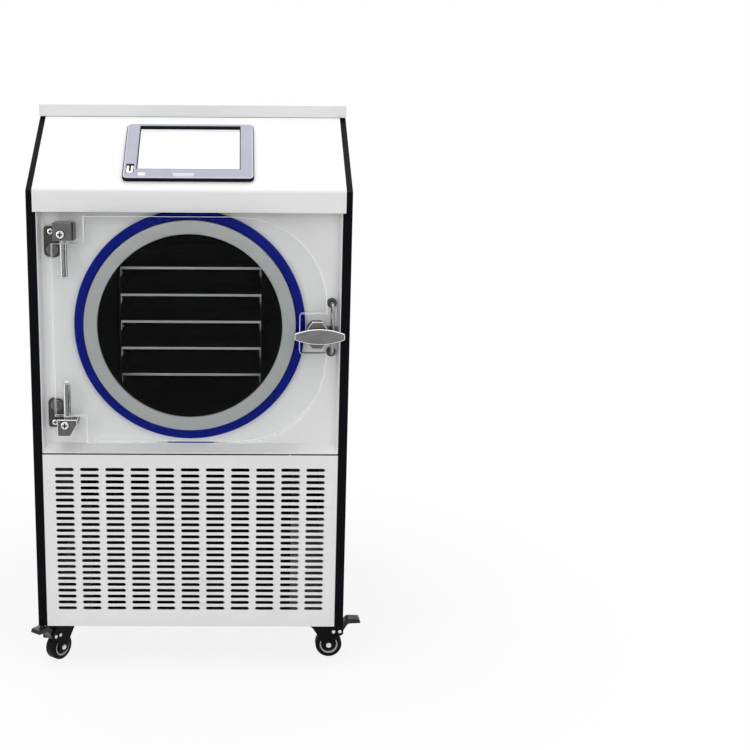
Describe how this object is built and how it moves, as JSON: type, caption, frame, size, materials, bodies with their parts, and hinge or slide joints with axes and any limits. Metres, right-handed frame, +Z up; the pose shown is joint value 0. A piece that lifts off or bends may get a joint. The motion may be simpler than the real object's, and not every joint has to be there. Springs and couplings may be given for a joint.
{
  "type": "freeze dryer",
  "caption": "Upright laboratory freeze dryer on swivel casters, with a clear side-hinged chamber door, shelf rack, sloped touch screen and rear vacuum flange.",
  "frame": {"origin": "middle of the bounding box, at floor level under the casters", "axes": "+Z up, the door and screen face -Y, +X is to the right of someone facing the door"},
  "size_m": [0.547, 0.691, 0.9093],
  "materials": {
    "white_paint": "satin powder coat",
    "dark_paint": "satin blue-black powder coat",
    "bezel_plastic": "satin blue-grey plastic",
    "screen_glass": "glossy display glass",
    "stainless": "brushed stainless steel",
    "polished_steel": "polished steel",
    "shelf_aluminium": "dark anodised aluminium",
    "gasket": "light grey silicone rubber",
    "trim_blue": "blue ring, satin gloss",
    "black_plastic": "black plastic",
    "red_plastic": "red glossy rocker",
    "clear_acrylic": "clear cast acrylic",
    "zinc_steel": "zinc-plated sheet",
    "copper": "copper tube",
    "black_steel": "black painted steel",
    "caster_tyre": "black tread",
    "foam": "closed-cell foam",
    "fin_pack": "aluminium fins"
  },
  "bodies": {
    "cabinet": {"base_pan": "zinc_steel", "left_side_panel": "dark_paint", "right_side_panel": "dark_paint", "top_cover": "white_paint", "control_hood": "white_paint", "front_fascia": "white_paint", "front_grille": "white_paint", "rear_upper_panel": "white_paint", "rear_cover": "white_paint", "screen_bezel": "bezel_plastic", "screen_display": "screen_glass", "chamber_shell": "stainless", "door_gasket": "gasket", "chamber_trim_ring": "trim_blue", "rack_left_plate": "shelf_aluminium", "rack_right_plate": "shelf_aluminium", "vacuum_port": "polished_steel", "evaporator_coil": "copper", "insulation_jacket": "foam", "shelf_1": "shelf_aluminium", "shelf_2": "shelf_aluminium", "shelf_3": "shelf_aluminium", "shelf_4": "shelf_aluminium", "shelf_5": "shelf_aluminium", "hinge_bracket_top": "stainless", "hinge_pin_top": "polished_steel", "hinge_bracket_bottom": "stainless", "hinge_pin_bottom": "polished_steel", "latch_staple": "stainless", "switch_bezel": "black_plastic", "power_inlet": "black_plastic", "power_outlet": "black_plastic", "vent_fitting": "polished_steel", "caster_plate_front_left": "zinc_steel", "caster_plate_front_right": "zinc_steel", "caster_plate_rear_left": "zinc_steel", "caster_plate_rear_right": "zinc_steel", "chamber_cradle": "zinc_steel", "suction_line": "copper", "compressor": "black_steel", "condenser_radiator": "fin_pack", "fan_shroud": "black_plastic", "control_box": "zinc_steel"},
    "door": {"door_panel": "clear_acrylic", "latch_block": "stainless"},
    "latch": {"latch_handle": "stainless", "latch_tongue": "stainless"},
    "switch": {"switch_rocker": "red_plastic"},
    "fuse": {"fuse_drawer": "black_plastic"},
    "fan": {"fan_rotor": "black_plastic"},
    "fork_front_left": {"caster_fork_front_left": "black_steel"},
    "wheel_front_left": {"caster_wheel_front_left": "caster_tyre"},
    "pedal_front_left": {"brake_pedal_front_left": "black_plastic"},
    "fork_front_right": {"caster_fork_front_right": "black_steel"},
    "wheel_front_right": {"caster_wheel_front_right": "caster_tyre"},
    "pedal_front_right": {"brake_pedal_front_right": "black_plastic"},
    "fork_rear_left": {"caster_fork_rear_left": "black_steel"},
    "wheel_rear_left": {"caster_wheel_rear_left": "caster_tyre"},
    "fork_rear_right": {"caster_fork_rear_right": "black_steel"},
    "wheel_rear_right": {"caster_wheel_rear_right": "caster_tyre"}
  },
  "joints": [
    {"name": "door_hinge", "type": "hinge", "parent": "cabinet", "child": "door", "pos_m": [-0.20256, -0.3155, 0.698], "axis": [0, 0, -1], "range_deg": [0, 150]},
    {"name": "latch_turn", "type": "hinge", "parent": "door", "child": "latch", "pos_m": [0.18964, -0.3045, 0.5595], "axis": [0, 1, 0], "range_deg": [0, 90]},
    {"name": "switch_rock", "type": "hinge", "parent": "cabinet", "child": "switch", "pos_m": [-0.16546, 0.3138, 0.861], "axis": [1, 0, 0], "range_deg": [0, 22]},
    {"name": "fuse_drawer_slide", "type": "slide", "parent": "cabinet", "child": "fuse", "axis": [0, 1, 0], "range_m": [0, 0.015]},
    {"name": "fan_spin", "type": "hinge", "parent": "cabinet", "child": "fan", "pos_m": [-0.01046, -0.3045, 0.1933], "axis": [0, 1, 0], "continuous": true},
    {"name": "caster_swivel_front_left", "type": "hinge", "parent": "cabinet", "child": "fork_front_left", "pos_m": [-0.22246, -0.2595, 0], "axis": [0, 0, 1], "continuous": true},
    {"name": "caster_wheel_spin_front_left", "type": "hinge", "parent": "fork_front_left", "child": "wheel_front_left", "pos_m": [-0.23329, -0.27388, 0.022], "axis": [0.7986, -0.6018, 0], "continuous": true},
    {"name": "brake_pedal_press_front_left", "type": "hinge", "parent": "fork_front_left", "child": "pedal_front_left", "pos_m": [-0.24418, -0.28832, 0.0469], "axis": [0.7986, -0.6018, 0], "range_deg": [0, 22]},
    {"name": "caster_swivel_front_right", "type": "hinge", "parent": "cabinet", "child": "fork_front_right", "pos_m": [0.20154, -0.2595, 0], "axis": [0, 0, 1], "continuous": true},
    {"name": "caster_wheel_spin_front_right", "type": "hinge", "parent": "fork_front_right", "child": "wheel_front_right", "pos_m": [0.21954, -0.2595, 0.022], "axis": [0, 1, 0], "continuous": true},
    {"name": "brake_pedal_press_front_right", "type": "hinge", "parent": "fork_front_right", "child": "pedal_front_right", "pos_m": [0.23763, -0.2595, 0.0469], "axis": [0, 1, 0], "range_deg": [0, 22]},
    {"name": "caster_swivel_rear_left", "type": "hinge", "parent": "cabinet", "child": "fork_rear_left", "pos_m": [-0.22246, 0.2705, 0], "axis": [0, 0, 1], "continuous": true},
    {"name": "caster_wheel_spin_rear_left", "type": "hinge", "parent": "fork_rear_left", "child": "wheel_rear_left", "pos_m": [-0.22246, 0.2885, 0.022], "axis": [-1, 0, 0], "continuous": true},
    {"name": "caster_swivel_rear_right", "type": "hinge", "parent": "cabinet", "child": "fork_rear_right", "pos_m": [0.20154, 0.2705, 0], "axis": [0, 0, 1], "continuous": true},
    {"name": "caster_wheel_spin_rear_right", "type": "hinge", "parent": "fork_rear_right", "child": "wheel_rear_right", "pos_m": [0.21954, 0.2705, 0.022], "axis": [0, 1, 0], "continuous": true}
  ]
}
